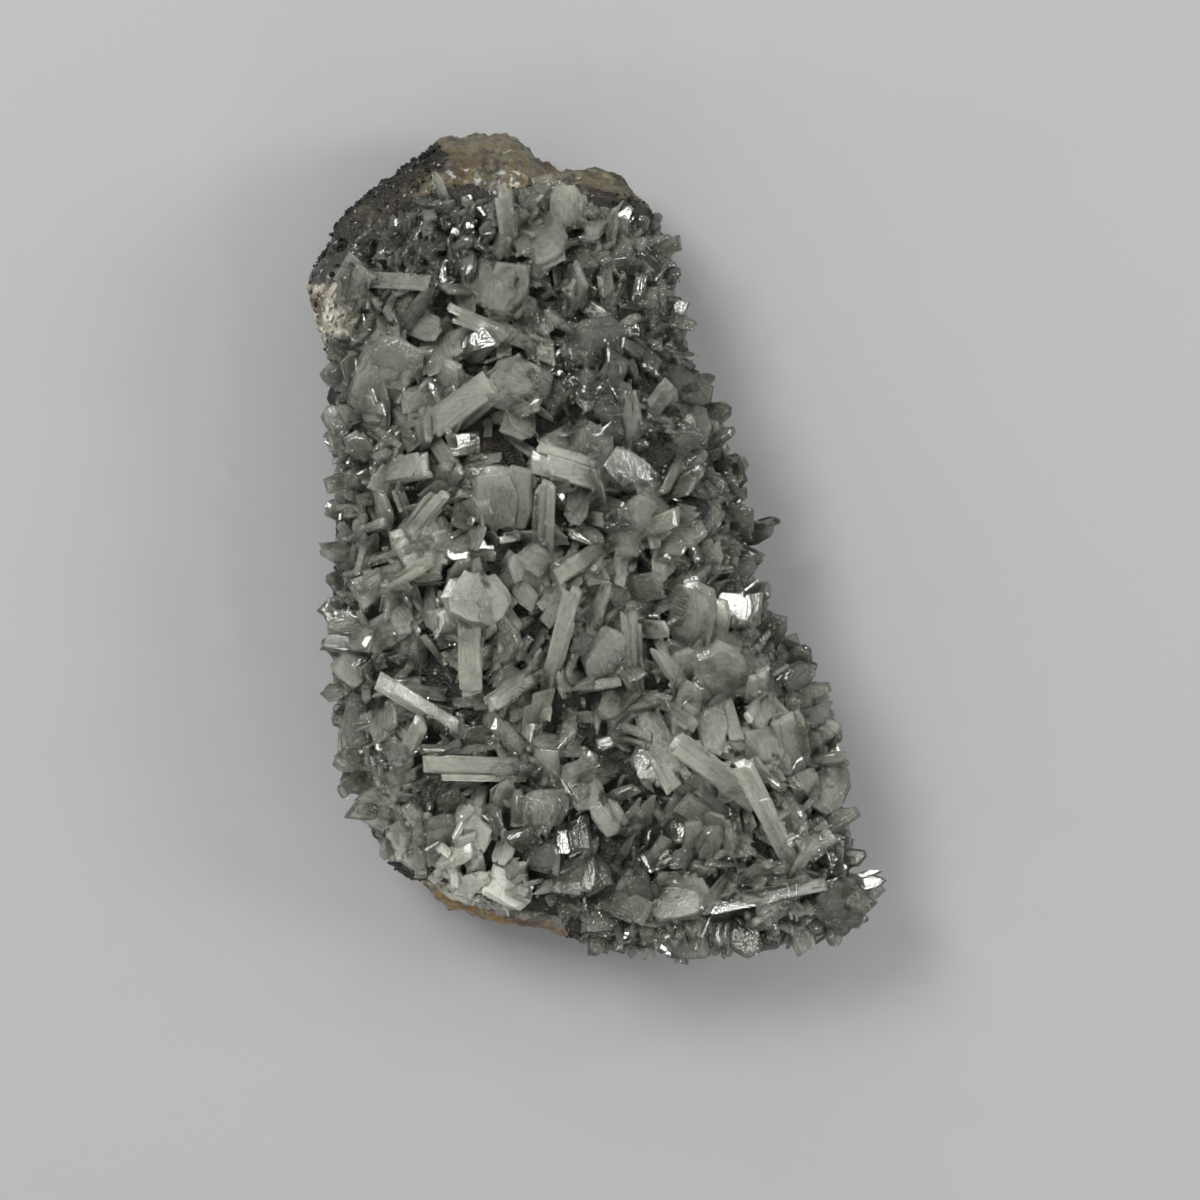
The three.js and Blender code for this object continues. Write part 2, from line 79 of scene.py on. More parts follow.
# The large crystals: foot X, Y, tip X, Y, width, rise of the tip above the rock, roll in degrees,
# form; then how milky the crystal is and how much its edges glitter.
CRYSTALS = [
    # The upper end.
    (-33.5, 38.5, -24, 37.5, 3, 7, 15, LATH, 0.6, 0.3),
    (-14.5, 41.5, -14.5, 33, 6.5, 7, 20, PLATE, 0.6, 0.1),
    (-12.5, 42, -14, 51.5, 2.5, 8, 25, LATH, 0.8, 0.8),
    (-8.5, 47, -6.5, 40.5, 7, 9, 12, PLATE, 0.65, 0.1),
    (-4.5, 46, -4.5, 52.5, 5.5, 8, 10, PLATE, 0.6, 0.1),
    (-2.5, 41.5, 2, 41.5, 2.5, 5, 20, PLATE, 0.5, 0.1),
    (1, 44.5, 4.5, 49.5, 3, 6, 20, SPEAR, 0.5, 0.3),
    (2, 44.5, 4.5, 41.5, 3, 5, 30, PLATE, 0.45, 0.1),
    (8.5, 32, 8.5, 39, 2.5, 5, 35, LATH, 0.4, 0.4),
    # Above the middle.
    (-32.5, 20, -27.5, 30.5, 10, 7, 12, PLATE, 0.45, 0.1),
    (-31, 11, -24, 12, 4.5, 8, 18, LATH, 0.75, 0.1),
    (-26.5, 16, -15.5, 23.5, 4, 11, 8, LATH, 1, 0.1),
    (-21.5, 22.5, -20.5, 27, 4.5, 6, 20, PLATE, 0.6, 0.1),
    (-7.5, 28.5, -21.5, 34, 2, 7, 30, LATH, 0.8, 0.3),
    (0, 26.5, 0, 33.5, 8.5, 6, 15, PLATE, 0.2, 0.1),
    (1, 21.5, 3.5, 27.5, 3, 6, 35, PLATE, 0.5, 0.1),
    (5, 15, 5, 22.5, 2.5, 8, 20, SPEAR, 0.85, 0.1),
    (6, 18.5, 10, 24, 2, 8, 25, LATH, 0.6, 0.1),
    # The middle.
    (-37, 2, -30.5, 4, 1.5, 6, 30, LATH, 0.7, 0.4),
    (-32.5, -7, -23.5, -1.5, 1.5, 9, 55, LATH, 0.8, 1),
    (-29, -8, -27, -12, 3.5, 7, 15, PLATE, 0.8, 0.1),
    (-28, 1, -21.5, 8, 2, 9, 20, LATH, 0.85, 0.1),
    (-23.5, 9, -21, 12.5, 3.5, 7, 25, PLATE, 0.55, 0.1),
    (-18.5, -9.5, -18, -20, 4.5, 9, 20, LATH, 0.85, 0.5),
    (-14.5, 3.5, -14.5, 12.5, 7.5, 8, 8, PLATE, 0.75, 0.1),
    (-14, -9, -21.5, -5, 7, 7, 10, TABLET, 0.75, 0.2),
    (-8, 0, -7.5, 10, 2.5, 9, 40, LATH, 0.8, 0.7),
    (0.5, 0, -6, -4, 3, 10, 15, LATH, 0.85, 0.1),
    (1.5, 0.5, 11.5, 5, 3, 7, 20, LATH, 0.5, 0.1),
    (2, 9.5, -9.5, 12.5, 3.5, 10, 10, LATH, 0.9, 0.1),
    (9.5, 3.5, 4, 7, 5, 8, 10, PLATE, 0.7, 0.1),
    (12, -1.5, 18.5, 1, 2, 6, 25, LATH, 0.5, 0.1),
    (19.5, 1.5, 25.5, 3, 3.5, 3, 30, PLATE, 0.4, 0.6),
    # Below the middle.
    (-34, -19, -38, -15, 4.5, 6, 20, PLATE, 0.7, 0.1),
    (-33.5, -11, -39.5, -10, 5, 6, 20, PLATE, 0.45, 0.1),
    (-19.5, -26, -31.5, -18.5, 3, 9, 20, LATH, 0.75, 0.3),
    (-8, -17, -15.5, -22, 2.5, 9, 15, LATH, 0.85, 0.1),
    (-7.5, -20, -3, -5.5, 2.5, 11, 15, LATH, 0.9, 0.1),
    (-2, -13, 1, -5, 2, 9, 25, LATH, 0.6, 0.3),
    (5, -20, 4.5, -8.5, 2, 6, 45, LATH, 0.6, 0.6),
    (5.5, -22, 11.5, -33, 3.5, 9, 12, LATH, 0.7, 0.1),
    (9.5, -22, 14, -25, 3, 7, 25, PLATE, 0.6, 0.1),
    (13, -13, 14.5, -4, 7, 9, 12, PLATE, 0.7, 0.1),
    (13, -20, 7.5, -14, 2.5, 9, 25, SPEAR, 0.8, 0.1),
    (19, -11, 19.5, -5.5, 5, 7, 15, PLATE, 0.6, 0.1),
    (19.5, -20, 14.5, -13.5, 8.5, 9, 15, PLATE, 0.65, 0.6),
    (21.5, -14.5, 26, -9.5, 1.5, 5, 30, LATH, 0.5, 0.1),
    (23, -21.5, 22.5, -17, 3.5, 8, 20, PLATE, 0.75, 0.1),
    (24.5, -21.5, 22, -25, 3.5, 9, 15, PLATE, 0.8, 0.1),
    (26, -20, 31, -16.5, 5, 4, 30, PLATE, 0.3, 0.1),
    (30, -25.5, 32.5, -20, 3.5, 4, 25, PLATE, 0.5, 0.1),
    (31.5, -29.5, 34.5, -25.5, 3.5, 3, 25, PLATE, 0.5, 0.1),
    # The lower end.
    (-29, -31.5, -25, -24, 3, 8, 20, LATH, 0.8, 0.1),
    (-25, -45.5, -28.5, -42.5, 3.5, 4, 20, PLATE, 0.8, 0.3),
    (-24, -44.5, -17.5, -42.5, 3.5, 6, 20, PLATE, 1, 0.3),
    (-22.5, -44.5, -22.5, -37, 6.5, 5, 15, PLATE, 0.1, 0.1),
    (-21.5, -49, -15.5, -46, 3.5, 5, 20, PLATE, 1, 0.5),
    (-14, -52, -10.5, -48, 3.5, 5, 20, PLATE, 0.9, 0.3),
    (-9, -31, -15, -24, 2.5, 7, 25, LATH, 0.5, 0.1),
    (-8.5, -31, -25, -30, 3, 9, 20, LATH, 0.85, 0.2),
    (-3.5, -33.5, -0.5, -28.5, 2.5, 7, 30, PLATE, 0.5, 0.3),
    (12, -55.5, 12, -60, 2.5, 2, 25, PLATE, 0.5, 0.3),
    (14.5, -37, 13, -31, 4, 6, 25, PLATE, 0.6, 0.1),
    (14.5, -51, 32.5, -47.5, 2.5, 6, 30, LATH, 0.7, 0.4),
    (15.5, -44.5, 16, -38.5, 5, 7, 15, PLATE, 0.4, 0.2),
    (21, -53.5, 20, -58, 6.5, 4, 25, PLATE, 0.7, 0.2),
    (23, -36, 10.5, -26.5, 3.5, 11, 10, LATH, 0.9, 0.1),
    (26.5, -48, 31, -41.5, 1.5, 7, 30, LATH, 0.7, 0.2),
    (27.5, -44, 20, -29.5, 3, 12, 15, LATH, 0.95, 0.1),
    (28.5, -32, 26, -22.5, 4.5, 8, 20, PLATE, 0.7, 0.6),
    (29.5, -43, 33.5, -40, 3.5, 7, 20, PLATE, 0.6, 0.1),
    (32, -53, 36.5, -49, 5, 4, 20, PLATE, 0.2, 0.1),
    (36, -53.5, 41, -48.5, 1.5, 3, 30, LATH, 0.7, 0.4),
    (37, -48.5, 41.5, -47.5, 2.5, 1, 20, SPEAR, 0.3, 0.1),
]

# ---- What the scene adds ----
# Places for crystals. Some of them stay empty, for lack of room or because of a cave.
MEDIUM = 580  # between the large crystals, the FILL ones among them
SKIRTS = 4  # at the sides of each large crystal
CORNER_PLACES = 260
EDGE = 440  # on the flanks, all round
SMALL = 1450  # in the gaps
GRAINS = 2800  # on the broad faces
ROCK_GRAINS = 9000  # on the bare rock, for each kind of it
FINGER_ROWS = ((1.2, 12, 0), (1.4, 14.5, 0.5), (1.8, 17, 1.4))  # pitch, height, inset

# Where the crystals are milkier or clearer than most: X, Y, reach in X and Y, how much.
VEILS = [
    (-25, 21, 9, 8, 0.28), (-18, -7, 10, 9, 0.38), (-5, -2, 9, 8, 0.22), (-19, -46, 12, 6, 1.1),
    (13, -30, 10, 9, 0.25), (-10, 44, 8, 7, 0.22), (-28, -24, 7, 5, 0.2), (6, 19, 9, 14, -0.28),
    (-24, 43, 9, 7, -0.35), (-1, 33, 9, 8, -0.15), (-1, -43, 9, 6, -0.5), (-27, -17, 5, 4, -0.2),
    (34, -48, 8, 7, -0.15), (-38, 0, 6, 30, 0.12), (14, -14, 8, 7, 0.25), (29, -28, 6, 10, 0.2),
    (20, -50, 8, 4, 0.25), (-14, 12, 9, 5, 0.25), (22, -2, 5, 10, -0.15),
]
DARK_VEILS = [veil for veil in VEILS if veil[4] < 0]  # the clearer crystals are darker too
CHALKY_VEILS = [(-19, -46, 12, 6, 0.15)]  # and the milkiest ones are chalky

# Where neighbours point the same way: X, Y, reach, degrees.
FLOWS = [
    (-31, 24, 7, -55), (-20, 20, 7, 35), (-6, 29, 8, -35), (5, 40, 8, 80), (10, 23, 7, 60),
    (-14, 44, 7, -80), (-14, 11, 8, -10), (10, 7, 8, 5), (24, -8, 7, 45), (-30, -4, 7, 25),
    (-20, -13, 6, 90), (-7, -13, 6, 67), (15, -14, 7, 50), (-18, -26, 7, -5), (-33, -28, 6, -35),
    (-9, -37, 7, 85), (2, -42, 7, 75), (10, -43, 6, 50), (27, -51, 9, 13), (23, -34, 8, -50),
    (33, -36, 7, -75),
]

# Caves between the crystals, which those of the scene alone mostly leave free: X, Y, radius.
CAVES = [
    (-25, -19, 3.4), (-18.5, 7.3, 1.6), (-5, 6.8, 1.9), (-16, 13.7, 1.8), (8.5, 20, 2.6), (-1, -46, 2.4),
    (-32, 22, 1.6), (12, -20, 1.6), (-30, 6, 1.5), (4, -36, 1.8), (-3, 26, 1.5),
]

# Broad milky plates under the blades: X, Y, length, width, turn in degrees, how milky.
BEDS = [
    (-17, -7.5, 10, 8, 30, 0.85), (-9, -3, 8, 6, 110, 0.6), (1.5, -15, 9, 8, 60, 0.55),
    (-2, 14.5, 9, 6, 75, 0.5), (4.5, 11, 9, 6, 140, 0.5), (12, 17.5, 8, 6, 80, 0.35),
    (1, 21, 8, 6, 0, 0.45), (-18.5, -41, 8, 6, 50, 0.95), (-13, -48.5, 8, 5, 160, 1.0),
    (-8.5, -37, 7, 6, 90, 0.5), (-2, -34.5, 6, 6, 20, 0.7), (1, -38, 6, 4, 120, 0.85),
    (11, -49.5, 9, 7, 10, 0.5), (35, -50.5, 9, 7, 150, 0.15), (33, -34.5, 8, 6, 60, 0.55),
    (-30, 26, 9, 7, 70, 0.5), (-24, 1, 9, 7, 120, 0.6), (-31, -12, 8, 6, 30, 0.6),
    (-11, 24, 10, 7, 160, 0.55), (-13, 37, 9, 7, 80, 0.65), (23, -29, 9, 7, 100, 0.7),
    (8, -29, 9, 6, 50, 0.65), (-30, -30, 8, 6, 10, 0.5),
]


# ---- Chance, the same in every run ----
def chance(n, k):
    """A number from 0 to 1 for item n and use k, as the CAD model draws it."""
    return (math.sin(n * 12.9898 + k * 78.233) * 43758.5453) % 1


def between(low, high, share):
    """The value that share of the way from low to high."""
    return low + (high - low) * share


def scatter(n):
    """Point n of an even scatter over the unit square."""
    return (0.5 + n * 0.7548776662466927) % 1, (0.5 + n * 0.5698402909980532) % 1


def pick(rng, forms):
    """One of the forms, all of them equally likely."""
    return forms[int(rng.integers(len(forms)))]


def is_inside(plan, x, y):
    """Whether a point is inside a closed plan: an odd number of sides lie straight to its right."""
    inside = False
    for i, (x1, y1) in enumerate(plan):
        x0, y0 = plan[i - 1]
        if (y0 > y) != (y1 > y) and x < between(x0, x1, (y - y0) / (y1 - y0)):
            inside = not inside
    return inside


# ---- The rock's surface, from the CAD nodes ----
def mesh_of(*nodes):
    """The points in millimetres and the faces of some CAD nodes."""
    points, faces = [], []
    for name in nodes:
        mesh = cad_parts[name].data
        first = len(points)
        points += [v.co / MM for v in mesh.vertices]
        faces += [[first + i for i in p.vertices] for p in mesh.polygons]
    return points, faces


ROCK_POINTS, ROCK_FACES = mesh_of(*ROCK_NODES)
ROCK = BVHTree.FromPolygons(ROCK_POINTS, ROCK_FACES)
ORE = BVHTree.FromPolygons(*mesh_of("ore_matrix"))


def surface_at(x, y):
    """The height of the rock, or of the crust's edge past the outline."""
    hit = ROCK.ray_cast(Vector((x, y, 80)), Vector((0, 0, -1)))[0]
    return hit.z if hit else CRUST_EDGE


def on_rock(x, y, rise=0.0):
    """The point that much above the rock's surface."""
    return np.array((x, y, surface_at(x, y) + rise))


def level_way(turn, reach=1.0):
    """A level step of that reach, turned anticlockwise from X."""
    return np.array((math.cos(turn) * reach, math.sin(turn) * reach, 0))


def edge_point(t):
    """The slab's outline as a closed centripetal Catmull-Rom curve, t from 0 to 1."""
    count = len(ROCK_OUTLINE)
    place = (t % 1) * count
    i, w = int(place), place % 1
    p0, p1, p2, p3 = (np.array(ROCK_OUTLINE[(i + k) % count], dtype=float) for k in (-1, 0, 1, 2))
    d0, d1, d2 = (np.linalg.norm(b - a) ** 0.5 for a, b in ((p0, p1), (p1, p2), (p2, p3)))
    leave = d1 * ((p1 - p0) / d0 - (p2 - p0) / (d0 + d1) + (p2 - p1) / d1)
    enter = d1 * ((p2 - p1) / d1 - (p3 - p1) / (d1 + d2) + (p3 - p2) / d2)
    square, cube = -3 * p1 + 3 * p2 - 2 * leave - enter, 2 * p1 - 2 * p2 + leave + enter
    return p1 + leave * w + square * w**2 + cube * w**3


EDGE_MARKS = np.array([edge_point(i / 400) for i in range(401)])


def lengths_along(marks):
    """How far along the outline each mark is, in millimetres."""
    return np.concatenate([[0], np.cumsum(np.linalg.norm(np.diff(marks, axis=0), axis=1))])


def edge_at(place, lengths):
    """The outline's point this far along it, and the way straight out of it there."""
    t = np.interp(place, lengths, np.linspace(0, 1, len(lengths)))
    tangent = edge_point(t + 0.0001) - edge_point(t - 0.0001)
    return edge_point(t), np.array((tangent[1], -tangent[0])) / np.linalg.norm(tangent)


def turned(out, turn):
    """A way in the plan, turned and made level in space."""
    return np.array((
        out[0] * math.cos(turn) - out[1] * math.sin(turn),
        out[0] * math.sin(turn) + out[1] * math.cos(turn), 0,
    ))


# ---- Outlines of crystals, anticlockwise, with the foot at X 0 ----
def cut_corners(corners, cuts):
    """Cuts each corner by a share of the side before it and a share of the side after it."""
    points = []
    for i, (corner, (back, ahead)) in enumerate(zip(corners, cuts)):
        if back:
            points.append(between(corner, corners[i - 1], back))
            points.append(between(corner, corners[(i + 1) % len(corners)], ahead))
        else:
            points.append(corner)
    return np.array(points)


def tablet_outline(rng, length, width):
    """A rectangle with some of its corners cut."""
    corners = np.array([(0, -0.5), (1, -0.5), (1, 0.5), (0, 0.5)]) * (length, width)
    corners[1:3, 0] += rng.uniform(-0.2, 0.2) * width * np.array((1, -1))
    is_cut = rng.uniform(size=(4, 1)) < np.array([[0.4], [0.7], [0.7], [0.4]])
    return cut_corners(corners, rng.uniform(0.1, 0.46, (4, 2)) * is_cut)


def blade_outline(rng, length, width, jogs):
    """A long blade: straight sides with a jog here and there, and a cut or stepped tip."""
    sides = []
    for _ in range(2):
        half = width / 2 * rng.uniform(0.88, 1)
        points = [(0, half * rng.uniform(0.8, 1))]
        for u in np.sort(rng.uniform(0.12, 0.85, rng.integers(0, jogs + 1))) * length:
            points.append((u, half))
            half = min(half * rng.uniform(0.78, 1.1), width / 2)
            points.append((u + rng.uniform(0.005, 0.04) * length, half))
        sides.append(np.array(points))
    lower, upper = sides[0] * (1, -1), sides[1]
    slant = rng.uniform(-0.35, 0.35) * width
    end = length - abs(slant) / 2
    right, left = (end - slant / 2, lower[-1][1]), (end + slant / 2, upper[-1][1])
    split = between(right[1], left[1], rng.uniform(0.3, 0.7))
    style = rng.uniform()
    tip = [right, left]
    if style > 0.75:
        back = left[0] - 0.12 * length
        tip = [right, (right[0], split), (back, split), (back, left[1])]
    elif style > 0.4:
        tip = [right, (length, split), left]
    return np.array([*lower, *tip, *upper[::-1]])


def plate_outline(rng, length, width, corners):
    """A plate with rounded, uneven corners."""
    step = 2 * math.pi / corners
    turns = np.arange(corners) * step + rng.uniform(-0.3, 0.3, corners) * step
    reach = rng.uniform(0.9, 1.04, corners)
    boxy = np.maximum(np.abs(np.cos(turns)), np.abs(np.sin(turns))) ** -0.8
    x = length * (0.5 + 0.44 * np.cos(turns) * reach * boxy)
    y = width * 0.45 * np.sin(turns) * reach * boxy
    return np.column_stack([x, y])


def spear_outline(rng, length, width):
    """A blade that narrows to a point."""
    a, b = rng.uniform(0.4, 0.65, 2) * length
    return np.array([
        (0, -0.3 * width), (a, -0.5 * width), (length, -0.06 * width), (length * 0.97, 0.08 * width),
        (b, 0.5 * width), (0, 0.3 * width),
    ])


def finger_outline(rng, length, width):
    """A blade with a chiselled tip."""
    half, back, edge = width / 2, rng.uniform(0.25, 0.6, 2) * width, rng.uniform(-0.1, 0.1) * width
    return np.array([
        (0, -0.42 * width), (length - back[0], -half), (length, edge - 0.16 * width),
        (length, edge + 0.16 * width), (length - back[1], half), (0, 0.42 * width),
    ])


def outline_of(rng, form, length, width, detail):
    if form == FINGER:
        return finger_outline(rng, length, width)
    if form == PLATE:
        return plate_outline(rng, length, width, 7 + 2 * detail)
    if form == TABLET:
        return tablet_outline(rng, length, width)
    if form == SPEAR:
        return spear_outline(rng, length, width)
    return blade_outline(rng, length, width, detail)


def levels_of(thickness, bevel):
    """Through the thickness of a tabular crystal, both broad faces bevelled: height and inset."""
    half = thickness / 2
    return [(-half, bevel), (-half * 0.15, 0), (half * 0.15, 0), (half, bevel)]


# ---- Joined crystals ----
def put_in_scene(name, data):
    thing = bpy.data.objects.new(name, data)
    bpy.context.scene.collection.objects.link(thing)
    return thing


class Batch:
    """Gathers closed crystals that become one joined mesh."""

    def __init__(self, name, seed):
        self.name = name
        self.rng = np.random.default_rng(seed)
        self.points, self.locals, self.reaches, self.milks, self.tones = [], [], [], [], []
        self.faces = []
        self.perches = []
        self.count = 0

    def begin(self, placing, length, tone=1.0):
        """What is added next belongs to the crystal with this placing, length and tone."""
        self.placing, self.length, self.tone = placing, length, tone
        self.offset = self.rng.uniform(0, 300, 3)

    def prism(self, outline, levels, placing, milk):
        """A closed prism: an outline seen along Z, and its inset at each height, low to high."""
        n = len(outline)
        low, high = outline.min(axis=0), outline.max(axis=0)
        middle, size = (low + high) / 2, high - low
        rings = []
        for z, inset in levels:
            shrunk = middle + (outline - middle) * (1 - 2 * inset / size)
            rings.append(np.column_stack([shrunk, np.full(n, z)]))
        points = np.concatenate(rings) @ placing[:3, :3].T + placing[:3, 3]
        local = (points - self.placing[:3, 3]) @ self.placing[:3, :3]
        first = self.count
        self.points.append(points)
        self.locals.append(local + self.offset)
        self.reaches.append(local[:, 0] / self.length)
        self.milks.append(np.full(len(local), milk))
        self.tones.append(np.full(len(local), self.tone))
        self.faces.append(tuple(range(first + n - 1, first - 1, -1)))
        for base in range(first, first + n * (len(levels) - 1), n):
            for i in range(n):
                j = (i + 1) % n
                self.faces.append((base + i, base + j, base + n + j, base + n + i))
        last = first + n * (len(levels) - 1)
        self.faces.append(tuple(range(last, last + n)))
        self.count += len(local)

    def build(self, material):
        mesh = bpy.data.meshes.new(self.name)
        mesh.from_pydata((np.concatenate(self.points) * MM).tolist(), [], self.faces)
        local = mesh.attributes.new("local", "FLOAT_VECTOR", "POINT")
        local.data.foreach_set("vector", np.concatenate(self.locals).astype(np.float32).ravel())
        for name, parts in (("reach", self.reaches), ("milk", self.milks), ("tone", self.tones)):
            values = mesh.attributes.new(name, "FLOAT", "POINT")
            values.data.foreach_set("value", np.concatenate(parts).astype(np.float32))
        mesh.materials.append(material)
        mesh.update()
        return put_in_scene(self.name, mesh)


def placing_of(foot, tip, roll):
    """Foot at the origin, X towards the tip, the broad face across Z and rolled about X."""
    way = (tip - foot) / np.linalg.norm(tip - foot)
    side = np.cross((0, 0, 1), way)
    if np.linalg.norm(side) < 0.05:
        side = np.cross((0, 1, 0), way)
    side /= np.linalg.norm(side)
    face = np.cross(way, side)
    turn = math.radians(roll)
    rolled = side * math.cos(turn) + face * math.sin(turn)
    placing = np.eye(4)
    placing[:3, 0], placing[:3, 1], placing[:3, 2] = way, rolled, np.cross(way, rolled)
    placing[:3, 3] = foot
    return placing


def shifted(placing, x, y, z, turn=0.0, lean=0.0):
    """A placing moved in its own axes, turned about its Z and leant about its X."""
    step = Matrix.Translation((x, y, z)) @ Matrix.Rotation(turn, 4, "Z") @ Matrix.Rotation(lean, 4, "X")
    return placing @ np.array(step)


def add_twins(batch, placing, length, width, thickness, form, milk, count):
    """Parallel crystals grown together with the body, side by side."""
    rng = batch.rng
    for _ in range(count):
        long, wide = rng.uniform(0.45, 0.9) * length, rng.uniform(0.25, 0.6) * width
        side = rng.choice((-1, 1)) * rng.uniform(0.3, 0.55) * width
        depth = rng.uniform(0.5, 0.9) * thickness
        place = shifted(
            placing, rng.uniform(0, 1) * (length - long), side, rng.normal() * 0.35 * thickness,
            rng.normal() * 0.03, rng.normal() * 0.05,
        )
        outline = outline_of(rng, form, long, wide, 1)
        batch.prism(outline, levels_of(depth, 0.2 * depth), place, milk + rng.normal() * 0.12)


def add_layers(batch, placing, length, width, thickness, form, milk, count):
    """Thin growth layers that stand a little proud of the broad faces."""
    rng = batch.rng
    for _ in range(count):
        up = 1 if rng.uniform() < 0.7 else -1
        long, wide = rng.uniform(0.45, 0.97) * length, rng.uniform(0.4, 0.9) * width
        sheet = rng.uniform(0.1, 0.26)
        x, y = rng.uniform(0.05, 1) * (length - long), rng.uniform(-0.5, 0.5) * (width - wide)
        z = up * (thickness / 2 + sheet * rng.uniform(0.05, 0.4))
        layer = outline_of(rng, form, long, wide, 1)
        place = shifted(placing, x, y, z, rng.normal() * 0.02, rng.normal() * 0.02)
        batch.prism(layer, levels_of(sheet, sheet * 0.3), place, milk + rng.normal() * 0.1)


def add_comb(batch, placing, length, width, thickness):
    """A row of thin parallel plates along one side: the rungs of a ladder that glint together."""
    rng = batch.rng
    pitch = rng.uniform(0.28, 0.45)
    start, count = rng.uniform(0.1, 0.4) * length, int(rng.uniform(0.3, 0.55) * length / pitch)
    side = rng.choice((-1, 1))
    rung = np.array([(0, -0.5), (0.55, -0.5), (0.55, 0.5), (0, 0.5)]) * (pitch, 0.3 * width)
    for k in range(count):
        place = shifted(
            placing, start + k * pitch, side * width * rng.uniform(0.28, 0.36),
            thickness * rng.uniform(0.3, 0.42), rng.normal() * 0.12, rng.normal() * 0.2,
        )
        height = thickness * rng.uniform(0.3, 0.6)
        batch.prism(rung, [(-height, 0), (height, 0.03)], place, 0.1)


def add_crystal(batch, foot, tip, width, thickness, roll, form, milk, glitter, detail):
    """One crystal: a bevelled body, then what grew with it and on it, where detail asks for it."""
    rng = batch.rng
    length = np.linalg.norm(tip - foot)
    placing = placing_of(foot, tip, roll)
    batch.begin(placing, length, tone_at(tip))
    body = outline_of(rng, form, length, width, detail)
    bevel = min(thickness / 2 * rng.uniform(0.3, 1), 0.2 * width)
    batch.prism(body, levels_of(thickness, bevel), placing, milk)
    if detail:
        kin = TABLET if form == PLATE else form
        add_twins(batch, placing, length, width, thickness, kin, milk, rng.integers(0, 2 + detail))
        add_layers(batch, placing, length, width, thickness, form, milk, rng.integers(1, 2 + 2 * detail))
        batch.perches.append((placing, length, width, thickness))
    if rng.uniform() < glitter:
        add_comb(batch, placing, length, width, thickness)


# ---- Where the crystals go ----
def is_room_for(tip, spare=0.0):
    """Whether barite may grow there. With something to spare, the upper left corner counts too."""
    in_reach = abs(tip[0]) < REACH_X + spare and abs(tip[1]) < REACH_Y + spare
    return in_reach and is_inside(GROWN_AREA if spare else BARITE_AREA, tip[0], tip[1])


def overhang(spot):
    """How far a point stands out over the slab's outline, seen from above; 0 inside it."""
    if is_inside(ROCK_OUTLINE, spot[0], spot[1]):
        return 0
    return float(np.min(np.linalg.norm(EDGE_MARKS - spot[:2], axis=1)))


def reach_out(spot):
    """How far a crystal may stand out over the outline there."""
    is_over_quartz = spot[1] < -44 and spot[0] < -2
    if is_over_quartz:
        return 0.4
    return 0.9 if spot[0] < -20 else 2.9


def is_in_cave(spot):
    return any(math.hypot(spot[0] - x, spot[1] - y) < radius for x, y, radius in CAVES)


def veil_at(spot, veils):
    """What the veils add up to there. Each one fades with the distance from its middle."""
    return sum(
        amount * math.exp(-(((spot[0] - x) / wide) ** 2) - ((spot[1] - y) / long) ** 2)
        for x, y, wide, long, amount in veils
    )


def tone_at(spot):
    """Darkened by painted shade out over the edge, darker in a few places, and above 1, which is chalky,
    in one.
    """
    # crystals that lean out over the outline get painted shade: a darker tone
    painted_rim_shade = between(1, 0.78, min(1, overhang(spot) / 1.2))
    return max(0.35, painted_rim_shade + veil_at(spot, DARK_VEILS) + veil_at(spot, CHALKY_VEILS))


def milk_at(spot):
    return 0.36 + veil_at(spot, VEILS)


def large_crystals():
    batch = Batch("barite_large", 11)
    for n, (foot_x, foot_y, tip_x, tip_y, width, rise, roll, form, milk, glitter) in enumerate(CRYSTALS):
        foot, tip = on_rock(foot_x, foot_y, rise * 0.1), on_rock(tip_x, tip_y, rise)
        foot = foot + (foot - tip) * 0.12
        thickness = 1.1 + 0.08 * width + 0.5 * chance(n, 5)
        lean = roll if chance(n, 6) < 0.5 else -roll
        add_crystal(batch, foot, tip, width, thickness, lean, form, milk, glitter, 2)
    return batch


def heading(spot, n):
    """The way crystal n points: often the way of its neighbours, otherwise any way."""
    pull, degrees = max(
        (math.exp(-((spot[0] - x) ** 2 + (spot[1] - y) ** 2) / reach**2), degrees)
        for x, y, reach, degrees in FLOWS
    )
    if chance(n, 19) > 0.9 * pull:
        return chance(n, 1) * 2 * math.pi
    flip = 180 if chance(n, 22) < 0.4 else 0
    return math.radians(degrees + flip + between(-22, 22, chance(n, 23)))


